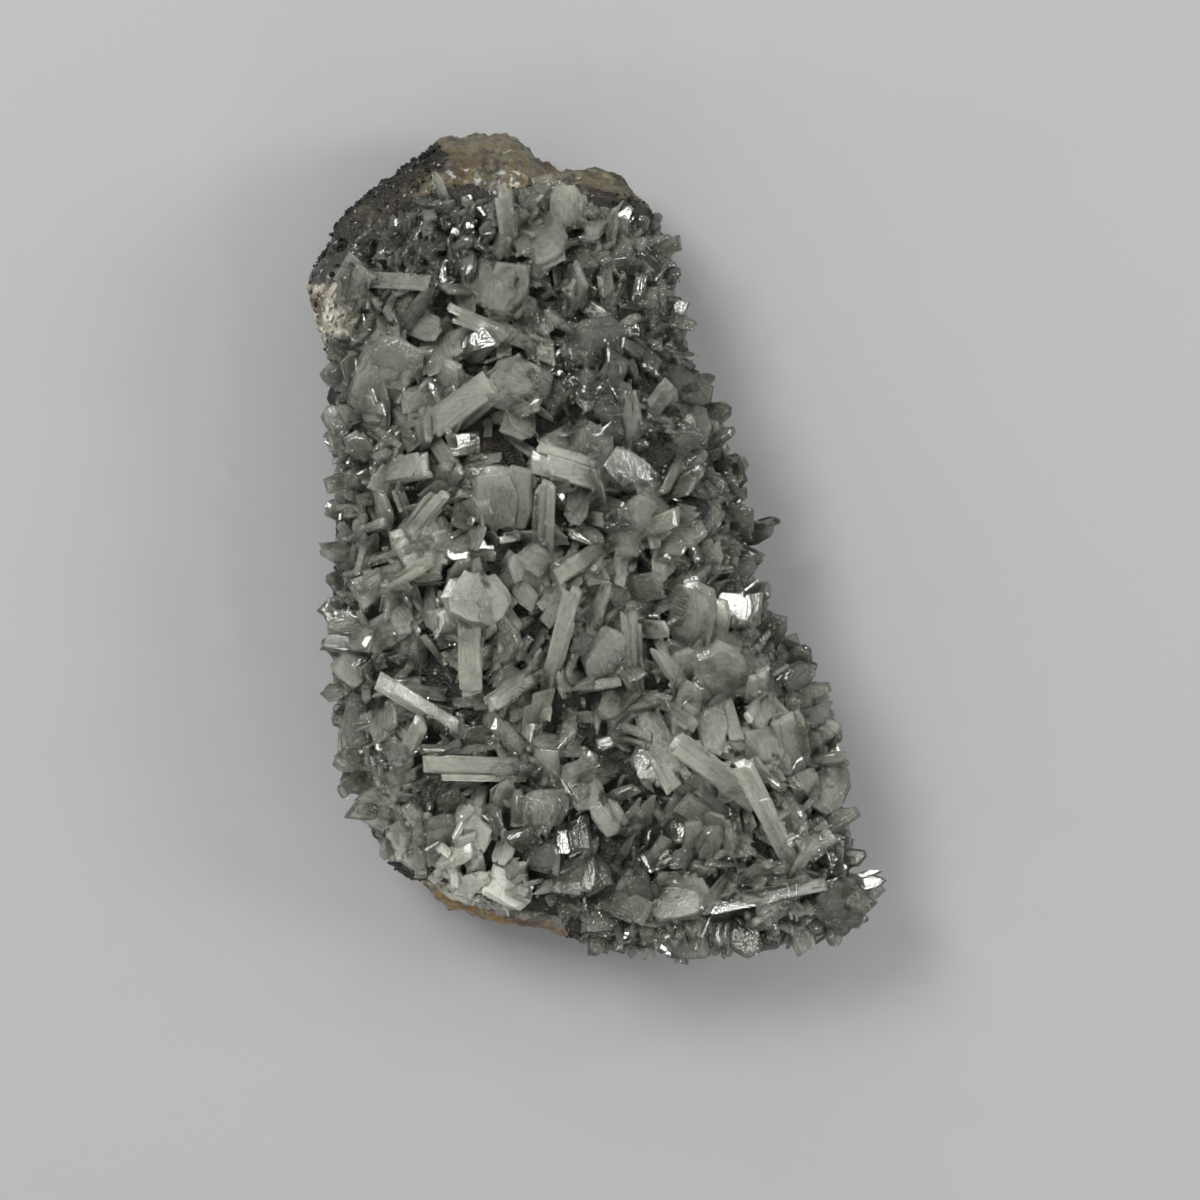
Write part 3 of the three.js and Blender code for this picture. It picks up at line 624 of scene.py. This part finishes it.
def medium_crystals():
    """The crystals between the large ones: first those of the CAD model, then more of their kind."""
    batch = Batch("barite_medium", 12)
    made, n = 0, 0
    while made < MEDIUM:
        n += 1
        u, v = scatter(n)
        x, y = between(-HALF_WIDTH, HALF_WIDTH, u), between(-HALF_LENGTH, HALF_LENGTH, v)
        foot = on_rock(x, y)
        turn = chance(n, 1) * 2 * math.pi if made < FILL else heading(foot, n)
        tip = foot + level_way(turn, between(3, 7, chance(n, 2)))
        tip = on_rock(tip[0], tip[1], between(2.5, FILL_RISE, chance(n, 3)))
        spare = 0.0 if made < FILL else 0.1
        if foot[2] < CRUST_EDGE + 2 or not is_room_for(foot, spare) or not is_room_for(tip, spare):
            continue
        width, roll = between(2.5, 5, chance(n, 4)), between(-50, 50, chance(n, 6))
        thickness = CAD_THICKNESS
        if made >= FILL:
            roll = 75 * (2 * chance(n, 8) - 1) * abs(2 * chance(n, 8) - 1)
            thickness = between(0.4, 1.1, chance(n, 9))
            width = between(1.1, 5.2, chance(n, 4) ** 1.4)
            tip[:2] = between(foot, tip, between(0.9, 1.6, chance(n, 7)))[:2]
            tip[2] = surface_at(*tip[:2]) + between(2, 5.5, chance(n, 18))
        made += 1
        if made > FILL and (is_in_cave(foot) or is_in_cave(tip) or overhang(tip) > reach_out(tip)):
            continue
        form = (LATH, LATH, LATH, LATH, SPEAR, TABLET, TABLET, PLATE)[int(chance(n, 10) * 8)]
        milk = milk_at(tip) + between(-0.26, 0.26, chance(n, 16))
        add_crystal(batch, foot, tip, width, thickness, roll, form, milk, 0.12, 1)
    return batch


def skirt_crystals():
    """Crystals that grew against the sides of the large ones and hide their feet."""
    batch = Batch("barite_skirts", 23)
    rng = batch.rng
    for foot_x, foot_y, tip_x, tip_y, width, rise, _, _, milk, _ in CRYSTALS:
        foot, along = np.array((foot_x, foot_y)), np.array((tip_x - foot_x, tip_y - foot_y))
        across = np.array((-along[1], along[0])) / np.linalg.norm(along)
        for _ in range(SKIRTS):
            u, side = rng.uniform(0, 0.8), rng.choice((-1, 1))
            base = foot + along * u + across * side * (width / 2 + rng.uniform(0.4, 2.6))
            v = u + rng.uniform(-0.1, 0.35)
            end = foot + along * v + across * side * width * rng.uniform(0.1, 0.6)
            end = between(base, end, rng.uniform(0.9, 1.6))
            base = on_rock(*base, rng.uniform(0, 0.3) * rise)
            end = on_rock(*end, rng.uniform(0.25, 0.65) * rise)
            if not is_room_for(base) or not is_room_for(end) or np.linalg.norm(end - base) < 1.8:
                continue
            wide, thickness = rng.uniform(1, 3), rng.uniform(0.4, 1)
            form, roll = pick(rng, (LATH, TABLET, PLATE)), rng.uniform(-80, 80)
            own_milk = 0.5 * (milk + milk_at(end)) - 0.1
            add_crystal(batch, base, end, wide, thickness, roll, form, own_milk, 0.1, 1)
    return batch


def corner_crystals():
    """Small clear crystals in the upper left corner, up to the bare edge of the rock."""
    batch = Batch("barite_corner", 24)
    rng = batch.rng
    low, high = np.min(CORNER, axis=0), np.max(CORNER, axis=0)
    for x, y in rng.uniform(low, high, (CORNER_PLACES, 2)):
        if not is_inside(CORNER, x, y):
            continue
        foot = on_rock(x, y)
        tip = foot + level_way(rng.uniform(0, 2 * math.pi), rng.uniform(1.5, 4.5))
        tip = on_rock(*tip[:2], rng.uniform(1.2, 4))
        if foot[2] < CRUST_EDGE + 1 or not is_room_for(tip, 0.1):
            continue
        width, thickness, milk = rng.uniform(0.9, 3), rng.uniform(0.4, 0.9), rng.uniform(0.05, 0.6)
        form, roll = pick(rng, (LATH, TABLET, SPEAR)), rng.uniform(-60, 60)
        add_crystal(batch, foot, tip, width, thickness, roll, form, milk, 0.35, 1)
    return batch


def rim_crystals():
    """The CAD model's crystals that lean out over the outline, cut short where they reach too far."""
    batch = Batch("barite_rim", 13)
    lengths = lengths_along(EDGE_MARKS[::2])
    count = round(lengths[-1] / RIM_STEP)
    for n in range(count):
        edge, out = edge_at(lengths[-1] * n / count, lengths)
        foot = np.array((*(edge - 1.5 * out), CRUST_EDGE + between(1.5, 4.5, n % 2)))
        way = turned(out, between(-0.7, 0.7, chance(n, 12)))
        tip = foot + way * between(4, 7, chance(n, 11))
        if not is_room_for(tip):
            tip = between(tip, foot, 0.35)
        tip -= way * max(0, overhang(tip) - reach_out(tip) - 0.7)
        tip[2] += between(0.5, 3.5, chance(n, 13))
        if not is_room_for(foot) or not is_room_for(tip):
            continue
        width, roll = between(2.5, 4.6, chance(n, 14)), between(-70, 70, chance(n, 15))
        milk = milk_at(tip) + between(-0.3, 0.2, chance(n, 17))
        form = (FINGER, TABLET)[n % 2]
        add_crystal(batch, foot, tip, width, CAD_THICKNESS, roll, form, milk, 0.2, 1)
    return batch


def bed_crystals():
    """Broad plates that lie low between the blades."""
    batch = Batch("barite_beds", 21)
    for n, (x, y, length, width, turn, milk) in enumerate(BEDS):
        middle, way = np.array((x, y, 0)), level_way(math.radians(turn))
        foot, tip = middle - way * length / 2, middle + way * length / 2
        foot, tip = on_rock(*foot[:2], 1), on_rock(*tip[:2], between(3.5, 5.5, chance(n, 20)))
        add_crystal(batch, foot, tip, width, 1.4, between(-25, 25, chance(n, 21)), PLATE, milk, 0.3, 2)
    return batch


def finger_crystals():
    """Rounded blades side by side that make the knobbly edge all round the barite, darkened by painted
    shade where they lean out.
    """
    batch = Batch("barite_fingers", 22)
    rng = batch.rng
    lengths = lengths_along(EDGE_MARKS)
    for row, (pitch, height, inset) in enumerate(FINGER_ROWS):
        for place in np.arange(row * 0.6, lengths[-1], pitch):
            edge, out = edge_at(place, lengths)
            if not is_inside(BARITE_AREA, *(edge - out)):
                continue
            way = turned(out, rng.normal() * 0.35)
            base = np.array((*(edge - out * (2.5 + inset)), height + rng.normal() * 0.8))
            reach = 2.5 + rng.uniform(0.4, 0.95) * reach_out(edge)
            tip = base + way * reach + (0, 0, rng.uniform(-0.5, 1.8))
            milk, roll = rng.uniform(0.2, 0.65), rng.normal() * (12 if edge[0] < -20 else 35)
            width, thickness = rng.uniform(1.1, 3), rng.uniform(0.9, 1.8)
            add_crystal(batch, base, tip, width, thickness, roll, FINGER, milk, 0.06, 0)
    return batch


def rock_samples(rng, count, low, steep):
    """Points spread over the rock's surface above a height, with the way out of the rock there."""
    corners = np.array([[ROCK_POINTS[i] for i in face[:3]] for face in ROCK_FACES])
    a, b, c = corners[:, 0], corners[:, 1], corners[:, 2]
    across = np.cross(b - a, c - a)
    area = np.linalg.norm(across, axis=1)
    ways = across / np.maximum(area, 1e-9)[:, None]
    fit = (corners[:, :, 2].min(axis=1) > low - 6) & (ways[:, 2] > -0.2)
    if steep:
        fit &= ways[:, 2] < 0.75
    chosen = rng.choice(len(area), count, p=area * fit / (area * fit).sum())
    u, v = rng.uniform(size=(2, count))
    flip = u + v > 1
    u, v = np.where(flip, 1 - u, u)[:, None], np.where(flip, 1 - v, v)[:, None]
    spots = a[chosen] * (1 - u - v) + b[chosen] * u + c[chosen] * v
    return [(s, w) for s, w in zip(spots, ways[chosen]) if s[2] > low]


def edge_crystals():
    """Crystals of middling size that lean out of the upper flank, all round the barite's area."""
    batch = Batch("barite_edge", 14)
    rng = batch.rng
    for spot, way in rock_samples(rng, EDGE, CRUST_EDGE - 2, True):
        lean = way + rng.normal(size=3) * 0.6 + (0, 0, 0.6)
        lean /= np.linalg.norm(lean)
        tip = spot + lean * rng.uniform(1.6, 4)
        if lean @ way < 0.25 or not is_room_for(tip, 0.8) or not is_room_for(spot, 2):
            continue
        if overhang(tip) > reach_out(spot):
            continue
        width, thickness = rng.uniform(1.8, 5), rng.uniform(0.5, 1.3)
        form = pick(rng, (LATH, TABLET, TABLET, PLATE))
        milk, roll = milk_at(spot) + rng.uniform(-0.35, 0.2), rng.uniform(-90, 90)
        add_crystal(batch, spot - lean, tip, width, thickness, roll, form, milk, 0.1, 1)
    return batch


def small_crystals():
    """Thin blades in the gaps, down on the rock."""
    batch = Batch("barite_small", 15)
    rng = batch.rng
    for spot, way in rock_samples(rng, SMALL, CRUST_EDGE - 3, False):
        lean = way + rng.normal(size=3) * 0.8
        lean /= np.linalg.norm(lean)
        tip = spot + lean * rng.uniform(1.6, 4.6)
        if lean @ way < 0.15 or not is_room_for(tip, 1) or not is_room_for(spot, 1.4):
            continue
        if is_in_cave(spot) or is_in_cave(tip) or overhang(tip) > reach_out(spot):
            continue
        width, thickness = rng.uniform(0.7, 2.6), rng.uniform(0.25, 0.7)
        form = pick(rng, (LATH, LATH, TABLET, SPEAR))
        milk, roll = milk_at(spot) + rng.uniform(-0.35, 0.25), rng.uniform(-90, 90)
        add_crystal(batch, spot - lean * 0.4, tip, width, thickness, roll, form, milk, 0, 0)
    return batch


def grains(perches):
    """The dusting of tiny crystals on the broad faces of the larger ones."""
    batch = Batch("barite_grains", 16)
    rng = batch.rng
    shares = np.array([length * width for _, length, width, _ in perches])
    square = np.array([(0, -0.5), (1, -0.4), (0.9, 0.5), (0.1, 0.4)])
    for n in rng.choice(len(perches), GRAINS, p=shares / shares.sum()):
        placing, length, width, thickness = perches[n]
        up = 1 if placing[2, 2] > 0 else -1
        x, y = rng.uniform(0.1, 0.93) * length, rng.uniform(-0.44, 0.44) * width
        z = up * (thickness / 2 + 0.02)
        place = shifted(placing, x, y, z, rng.uniform(0, 6.28), rng.normal() * 0.4)
        batch.begin(place, 1)
        size = rng.uniform(0.14, 0.34)
        levels = [(-size * 0.4, 0), (size * 0.4, 0.02)]
        batch.prism(square * size * (rng.uniform(1, 2), 1), levels, place, 0.7)
    return batch


# ---- Rock pieces ----
def rock_grains(name, seed, count, low, size, on_node):
    """Angular grains half sunk into one node of the rock, where no barite covers it.

    Those of the ore spill over the borders of the quartz, and those of the quartz keep away from them.
    """
    batch = Batch(name, seed)
    rng = batch.rng
    block = np.array([(-0.5, -0.5), (0.5, -0.42), (0.42, 0.5), (-0.46, 0.4)])
    tree = BVHTree.FromPolygons(*mesh_of(on_node))
    for spot, way in rock_samples(rng, count, low, False):
        is_covered = is_room_for(spot, 5) and spot[2] > CRUST_EDGE
        is_on_ore = ORE.find_nearest(Vector(spot))[3] < 0.05
        is_dark = is_on_ore or stain_at(spot) > rng.uniform(0.4, 1)
        if on_node == "ore_matrix":
            is_elsewhere = not is_dark
        else:
            is_elsewhere = is_dark or tree.find_nearest(Vector(spot))[3] > 0.05
        if is_covered or is_elsewhere:
            continue
        lean = way + rng.normal(size=3) * 0.5
        root = spot + way * (0.2 + swell(Vector(spot), way))
        place = placing_of(root, spot + way + lean, rng.uniform(0, 360))
        batch.begin(place, 1)
        width = rng.uniform(*size)
        levels = [(-width * 0.6, 0.1 * width), (width * rng.uniform(0.2, 0.5), 0.12 * width)]
        batch.prism(block * width * (rng.uniform(0.7, 1.3), 1), levels, place, rng.uniform())
    return batch


def rough_copy(node, name, cell, lumps, stain, material):
    """A fine copy of a CAD node: remeshed, then every point moved along its normal by lumps(point)."""
    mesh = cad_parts[node].data.copy()
    piece = put_in_scene(name, mesh)
    remesh = piece.modifiers.new("remesh", "REMESH")
    remesh.mode = "VOXEL"
    remesh.voxel_size = cell * MM
    fine = bpy.data.meshes.new_from_object(piece.evaluated_get(bpy.context.evaluated_depsgraph_get()))
    piece.modifiers.clear()
    piece.data = fine
    bpy.data.meshes.remove(mesh)
    fine.name = name
    count = len(fine.vertices)
    points, normals = np.empty(count * 3), np.empty(count * 3)
    fine.vertices.foreach_get("co", points)
    fine.vertices.foreach_get("normal", normals)
    points, normals = points.reshape(-1, 3) / MM, normals.reshape(-1, 3)
    moves = np.array([lumps(Vector(p), n) for p, n in zip(points, normals)])
    moves *= np.clip((points[:, 2] - 0.3) / 2, 0, 1)  # the face it lies on stays flat
    points += normals * moves[:, None]
    points[:, 2] = np.maximum(points[:, 2], 0)
    fine.vertices.foreach_set("co", (points * MM).ravel())
    fine.attributes.new("stain", "FLOAT", "POINT").data.foreach_set("value", [stain(p) for p in points])
    fine.materials.clear()
    fine.materials.append(material)
    fine.polygons.foreach_set("use_smooth", np.ones(len(fine.polygons), dtype=bool))
    fine.update()
    return piece


def streak_at(spot):
    """1 along the lighter streak, a few millimetres inside the slab's bare upper left edge."""
    if spot[1] < 25 or spot[2] < 12 or is_room_for(spot, 0.1):
        return 0.0
    inland = float(np.min(np.linalg.norm(EDGE_MARKS - spot[:2], axis=1)))
    return math.exp(-(((inland - 5.2) / 1.8) ** 2))


def stain_at(spot):
    """1 where a patch of quartz thins out against the ore, and at the top of the left one."""
    border = 1 - (ORE.find_nearest(Vector(spot))[3] - 0.3) / 1.4
    top = (spot[1] - 37.5) / 1.5 if spot[0] < -30 else 0
    return min(1, max(0, border, top))


def swell(p, normal):
    """The flanks stand out a little more than the CAD's, at the top and where crystals hide them."""
    flank = 1 - min(1, abs(normal[2]) / 0.8)
    if p.y < -44 and p.x < -2:
        return flank * 1.6
    return flank * (1.1 if p.y > 45 or (p.z > 9 and p.x > 0) else 0.6)


def ore_lumps(p, normal):
    """Broken, granular ore: blocky lumps of a few millimetres and grains below one."""
    near, next_near = noise.voronoi(p * 0.42)[0][:2]
    blocks = noise.cell(p * 0.3 + Vector((3, 1, 2)))
    grain = noise.noise(p * 1.7) * 0.35 + noise.noise(p * 3.6) * 0.25
    return 0.5 * (next_near - near) + 0.25 * blocks + grain + swell(p, normal)


def quartz_lumps(p, normal):
    """Massive quartz: rounded lumps with shallow pits."""
    lump = noise.voronoi(p * 0.26 + Vector((5, 5, 5)))[0][0]
    fine = noise.voronoi(p * 0.8)[0][0]
    rough = noise.noise(p * 0.5) * 0.6 + noise.noise(p * 3.1) * 0.16
    return 0.5 - 0.9 * lump - 0.35 * fine + rough + swell(p, normal)


# ---- Materials ----
class Nodes:
    """Short calls for building a material's node tree."""

    def __init__(self, name):
        self.material = bpy.data.materials.new(name)
        self.material.use_nodes = True
        self.tree = self.material.node_tree
        self.shader = self.tree.nodes["Principled BSDF"]
        self.output = self.tree.nodes["Material Output"]

    def add(self, kind, **settings):
        node = self.tree.nodes.new("ShaderNode" + kind)
        for key, value in settings.items():
            if hasattr(node, key):
                setattr(node, key, value)
            else:
                node.inputs[key.replace("_", " ")].default_value = value
        return node

    def link(self, start, end):
        self.tree.links.new(start, self.shader.inputs[end] if isinstance(end, str) else end)

    def feed(self, socket, value):
        """Gives a socket a number or a colour, or links an output to it."""
        if isinstance(value, tuple):
            socket.default_value = (*value, 1)
        elif isinstance(value, (int, float)):
            socket.default_value = value
        else:
            self.link(value, socket)

    def set(self, **values):
        for key, value in values.items():
            self.shader.inputs[key.replace("_", " ")].default_value = value

    def attribute(self, name, output="Fac"):
        return self.add("Attribute", attribute_name=name).outputs[output]

    def noise(self, vector, scale, detail=2.0, roughness=0.5, stretch=(1, 1, 1)):
        mapping = self.add("Mapping", Scale=stretch)
        self.link(vector, mapping.inputs["Vector"])
        node = self.add("TexNoise", Scale=scale, Detail=detail, Roughness=roughness)
        self.link(mapping.outputs["Vector"], node.inputs["Vector"])
        return node.outputs["Fac"]

    def ramp(self, value, *stops):
        node = self.add("ValToRGB")
        ramp = node.color_ramp
        while len(ramp.elements) < len(stops):
            ramp.elements.new(0.5)
        for element, (place, colour) in zip(ramp.elements, stops):
            element.position = place
            element.color = (*colour, 1) if isinstance(colour, tuple) else (colour, colour, colour, 1)
        self.link(value, node.inputs["Fac"])
        return node.outputs["Color"]

    def math(self, operation, a, b):
        node = self.add("Math", operation=operation)
        self.feed(node.inputs[0], a)
        self.feed(node.inputs[1], b)
        return node.outputs["Value"]

    def weighted(self, *terms):
        """The sum of (value, weight) pairs, each value taken from its middle, plus a half."""
        total = 0.5
        for value, weight in terms:
            centred = self.math("MULTIPLY", self.math("SUBTRACT", value, 0.5), weight)
            total = self.math("ADD", centred, total)
        return total

    def mix(self, share, a, b, blend="MIX"):
        node = self.add("Mix", data_type="RGBA", blend_type=blend)
        for place, value in ((0, share), (6, a), (7, b)):
            self.feed(node.inputs[place], value)
        return node.outputs[2]

    def darkened(self, colour, by, share=1.0):
        return self.mix(share, colour, by, "MULTIPLY")

    def bump(self, height, strength, distance):
        node = self.add("Bump", Strength=strength, Distance=distance)
        self.link(height, node.inputs["Height"])
        self.link(node.outputs["Normal"], "Normal")


def barite_material(name, absorbs):
    """Glassy barite. Veils, the tip and the milkier crystals are paler, rougher and less clear."""
    nodes = Nodes(name)
    local = nodes.attribute("local", "Vector")
    veils = nodes.noise(local, 0.30, 4, 0.62, (0.7, 1, 1))
    reach, milk = nodes.attribute("reach"), nodes.attribute("milk")
    lines = nodes.noise(local, 2.6, 0, 0.5, (0.05, 1.6, 1))
    dust = nodes.noise(local, 2.6, 2, 0.65, (0.4, 1.2, 1))
    haze = nodes.weighted((milk, 0.85), (veils, 1.15), (reach, 0.3), (lines, 0.12), (dust, 0.4))
    deep, pale = (0.89, 0.90, 0.80), (0.79, 0.80, 0.70)
    # The tone attribute darkens the colour: painted shade out over the edge, as well as the darker and
    # chalky places.
    tint = nodes.darkened(nodes.ramp(haze, (0.3, deep), (0.9, pale)), nodes.attribute("tone", "Color"))
    nodes.link(nodes.darkened(tint, nodes.ramp(dust, (0.38, 0.84), (0.56, 1.0))), "Base Color")
    clear = nodes.ramp(haze, (0.15, 0.985), (0.5, 0.93), (0.95, 0.8))
    chalk = nodes.ramp(nodes.math("MULTIPLY", nodes.attribute("tone"), 0.8), (0.8, 1.0), (0.95, 0.72))
    nodes.link(nodes.darkened(clear, chalk), "Transmission Weight")
    nodes.link(nodes.ramp(haze, (0.2, 0.02), (0.55, 0.1), (0.95, 0.2)), "Roughness")
    grain = nodes.noise(local, 3.2, 0)
    pits = nodes.ramp(grain, (0.56, 0.0), (0.66, 1.0))
    nodes.bump(nodes.weighted((pits, 0.5), (lines, 0.35), (grain, 0.5)), 0.5, 0.06 * MM)
    nodes.set(IOR=1.636)
    if absorbs:
        absorb = nodes.add("VolumeAbsorption", Density=120.0)
        absorb.inputs["Color"].default_value = (0.79, 0.81, 0.70, 1)
        nodes.link(absorb.outputs["Volume"], nodes.output.inputs["Volume"])
    return nodes.material


def ore_material(name, dark, middle, tan):
    """Dark granular ore with brown patches, and facets that glitter: they are smoother, and their
    lighter colour is a painted glint.
    """
    nodes = Nodes(name)
    place = nodes.add("TexCoord").outputs["Object"]
    patches = nodes.noise(place, 120, 5, 0.65)
    grain = nodes.noise(place, 1000, 3, 0.65)
    streak = nodes.math("MULTIPLY", nodes.attribute("stain"), 0.3)
    colour = nodes.ramp(nodes.math("ADD", patches, streak), (0.42, dark), (0.58, middle), (0.8, tan))
    speckled = nodes.darkened(colour, nodes.ramp(grain, (0.38, 0.25), (0.65, 1.0)), 0.85)
    cells = nodes.add("TexVoronoi", Scale=2400.0)
    nodes.link(place, cells.inputs["Vector"])
    # cells that are smoother, a real shine, and lighter in colour, a painted glint
    smooth_grains_painted_glints = nodes.ramp(cells.outputs["Color"], (0.90, 0.0), (0.93, 1.0))
    nodes.link(nodes.mix(smooth_grains_painted_glints, speckled, (0.27, 0.25, 0.20)), "Base Color")
    nodes.link(nodes.ramp(smooth_grains_painted_glints, (0.0, 0.5), (1.0, 0.12)), "Roughness")
    nodes.bump(nodes.weighted((grain, 1.0), (cells.outputs["Distance"], 0.6)), 1.0, 0.3 * MM)
    nodes.set(Specular_IOR_Level=0.35)
    return nodes.material


def quartz_material(name, grey, pale, tan, rust):
    """Waxy massive quartz, stained where the veins of rust run."""
    nodes = Nodes(name)
    place = nodes.add("TexCoord").outputs["Object"]
    patches = nodes.noise(place, 150, 5, 0.65)
    stains = nodes.noise(place, 330, 5, 0.65)
    colour = nodes.ramp(patches, (0.38, grey), (0.47, pale), (0.56, tan), (0.66, rust))
    stained = nodes.mix(nodes.ramp(stains, (0.5, 0.0), (0.66, 0.9)), colour, rust)
    ragged = nodes.math("ADD", nodes.attribute("stain"), nodes.math("MULTIPLY", stains, 1.5))
    border = nodes.ramp(nodes.math("MULTIPLY", ragged, 0.5), (0.62, 0.0), (0.78, 1.0))
    bordered = nodes.mix(border, stained, grey)
    grain = nodes.noise(place, 1200, 3, 0.65)
    speckled = nodes.darkened(bordered, nodes.ramp(grain, (0.36, 0.3), (0.6, 1.0)), 0.75)
    nodes.link(speckled, "Base Color")
    nodes.link(nodes.ramp(stains, (0.3, 0.15), (0.7, 0.5)), "Roughness")
    nodes.bump(nodes.weighted((stains, 0.6), (grain, 0.6)), 0.9, 0.3 * MM)
    nodes.set(Coat_Weight=0.4, Coat_Roughness=0.12)
    return nodes.material


# ---- The specimen ----
batches = [
    large_crystals(), medium_crystals(), bed_crystals(), skirt_crystals(), corner_crystals(),
    rim_crystals(), finger_crystals(), edge_crystals(), small_crystals(),
]
batches.append(grains([perch for batch in batches for perch in batch.perches]))
barite, thin_barite = barite_material("barite", True), barite_material("thin_barite", False)

# The batches with no crystal thicker than a millimetre do without absorption, which would take
# up to about 3 percent of the light that crosses one.
THIN = ("barite_skirts", "barite_corner", "barite_small", "barite_grains")
crystals = [batch.build(thin_barite if batch.name in THIN else barite) for batch in batches]

dark_ore = ore_material("dark_ore", (0.009, 0.008, 0.005), (0.026, 0.023, 0.016), (0.16, 0.135, 0.08))
ORE_CELL, QUARTZ_CELL = 0.5, 0.3
QUARTZ_PIECES = (  # node, piece and material, then its grey, pale, tan and rust
    ("quartz_rim_upper", "quartz_upper", "tan_quartz",
     (0.025, 0.022, 0.012), (0.11, 0.098, 0.055), (0.095, 0.065, 0.024), (0.03, 0.018, 0.006)),
    ("quartz_patch_left", "quartz_left", "white_quartz",
     (0.03, 0.028, 0.022), (0.60, 0.58, 0.50), (0.40, 0.37, 0.29), (0.07, 0.05, 0.03)),
    ("quartz_rim_lower", "quartz_lower", "amber_quartz",
     (0.034, 0.028, 0.015), (0.19, 0.15, 0.08), (0.24, 0.13, 0.03), (0.08, 0.036, 0.008)),
)
rocks = {"ore_matrix": rough_copy("ore_matrix", "ore_rock", ORE_CELL, ore_lumps, streak_at, dark_ore)}
quartz = {}
for node, name, kind, *colours in QUARTZ_PIECES:
    quartz[kind] = quartz_material(kind, *colours)
    rocks[node] = rough_copy(node, name, QUARTZ_CELL, quartz_lumps, stain_at, quartz[kind])
ore_grains = rock_grains("ore_grains", 17, ROCK_GRAINS, 1.5, (0.2, 0.7), "ore_matrix").build(dark_ore)
white_grains = rock_grains("quartz_grains", 18, ROCK_GRAINS, 8, (0.3, 0.8), "quartz_patch_left")
white_grains = white_grains.build(quartz["white_quartz"])

for piece in crystals:
    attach(piece, "root")
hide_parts("barite_druse")
for node, piece in rocks.items():
    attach(piece, "root")
    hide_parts(node)
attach(ore_grains, "root")
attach(white_grains, "root")


# ---- Studio, in metres ----
FLOOR_REACH = 3.0
FLOOR_COLOUR = (0.27, 0.27, 0.27, 1)
WORLD_COLOUR, WORLD_STRENGTH = (0.8, 0.81, 0.8, 1), 0.6
AIM = (0, 0, 0.02)  # the point that every light faces
GLINTS, GLINT_RING = 20, 0.45  # small lights in a ring all round, for the sparkle
LENS, SENSOR = 135, 36  # the sensor's width is Blender's own
FRAME_WIDTH = 171.6 * MM  # what the picture spans at the height of the crystals
FRAME_MIDDLE = (0.14 * MM, -7.1 * MM)
CRYSTAL_HEIGHT = 22 * MM


def make_floor():
    mesh = bpy.data.meshes.new("floor")
    far = FLOOR_REACH
    corners = [(-far, -far, 0), (far, -far, 0), (far, far, 0), (-far, far, 0)]
    mesh.from_pydata(corners, [], [(0, 1, 2, 3)])
    nodes = Nodes("floor")
    nodes.set(Base_Color=FLOOR_COLOUR, Roughness=0.7)
    mesh.materials.append(nodes.material)
    floor = put_in_scene("floor", mesh)


def make_light(name, place, size, power):
    data = bpy.data.lights.new(name, "AREA")
    data.size, data.energy = size, power
    light = put_in_scene(name, data)
    light.location = place
    aim = Vector(AIM) - light.location
    light.rotation_mode = "QUATERNION"
    light.rotation_quaternion = aim.to_track_quat("-Z", "Y")


make_floor()
make_light("key", (-0.5, 0.5, 0.95), 0.45, 10)
make_light("fill", (0.75, 0.05, 0.55), 0.25, 3.5)
for k in range(GLINTS):
    turn = 2 * math.pi * (k + 0.5) / GLINTS
    place = (GLINT_RING * math.cos(turn), GLINT_RING * math.sin(turn), 0.2 + 0.12 * (k % 5))
    make_light(f"glint_{k}", place, 0.03, 0.15)
bpy.context.scene.view_settings.view_transform = "Standard"

world = bpy.data.worlds.new("world")
world.use_nodes = True
background = world.node_tree.nodes["Background"]
background.inputs["Color"].default_value = WORLD_COLOUR
background.inputs["Strength"].default_value = WORLD_STRENGTH
bpy.context.scene.world = world

camera_data = bpy.data.cameras.new("camera")
camera_data.lens = LENS
camera = put_in_scene("camera", camera_data)
camera.location = (*FRAME_MIDDLE, CRYSTAL_HEIGHT + FRAME_WIDTH * LENS / SENSOR)
bpy.context.scene.camera = camera
